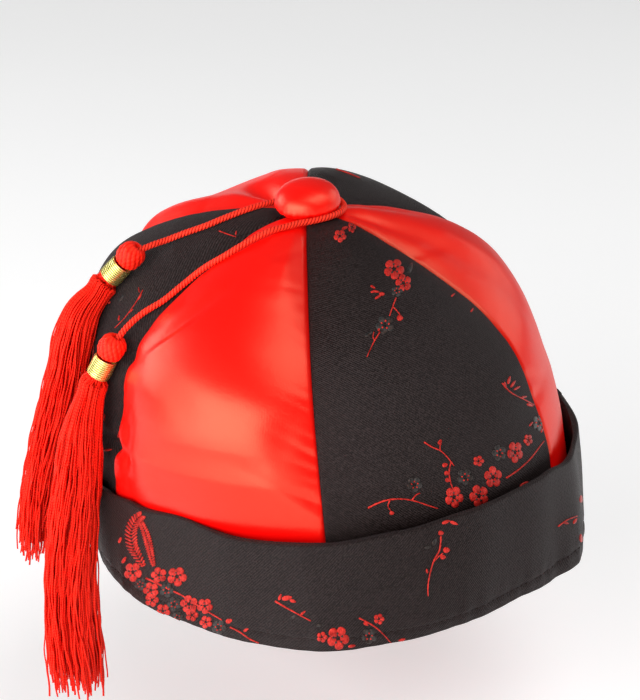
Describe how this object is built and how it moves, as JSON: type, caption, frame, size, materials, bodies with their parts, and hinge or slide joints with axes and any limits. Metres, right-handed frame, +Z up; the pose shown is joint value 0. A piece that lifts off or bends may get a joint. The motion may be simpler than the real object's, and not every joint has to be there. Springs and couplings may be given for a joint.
{
  "type": "chinese skull cap with turned-up cuff, covered button and two tassels",
  "caption": "Round cap of red satin and black brocade panels with a turned-up cuff, a covered top button and cords that end in long red tassels.",
  "frame": {"origin": "centre of the head opening, level with the underside of the cuff, where a head carries the hat", "axes": "+Z up through the crown, -Y towards the front of the hat, +X to the viewer's right; the tassels hang on the -X side"},
  "size_m": [0.2257, 0.2071, 0.192],
  "materials": {
    "red_satin": "smooth red satin with a soft sheen",
    "black_brocade": "black twill brocade with red and black woven blossom",
    "red_cord": "twisted red cord",
    "red_thread": "glossy red thread",
    "gold_thread": "wound metallic gold thread"
  },
  "bodies": {
    "root": {"panel_front_left_red": "red_satin", "panel_front_right_black": "black_brocade", "panel_right_red": "red_satin", "panel_back_right_black": "black_brocade", "panel_back_left_red": "red_satin", "panel_left_black": "black_brocade", "cuff": "black_brocade", "button": "red_satin", "cord_front": "red_cord", "cord_back": "red_cord", "tassel_head_1": "red_thread", "gold_wrap_1": "gold_thread", "fringe_1": "red_thread", "tassel_head_2": "red_thread", "gold_wrap_2": "gold_thread", "fringe_2": "red_thread"}
  },
  "joints": []
}
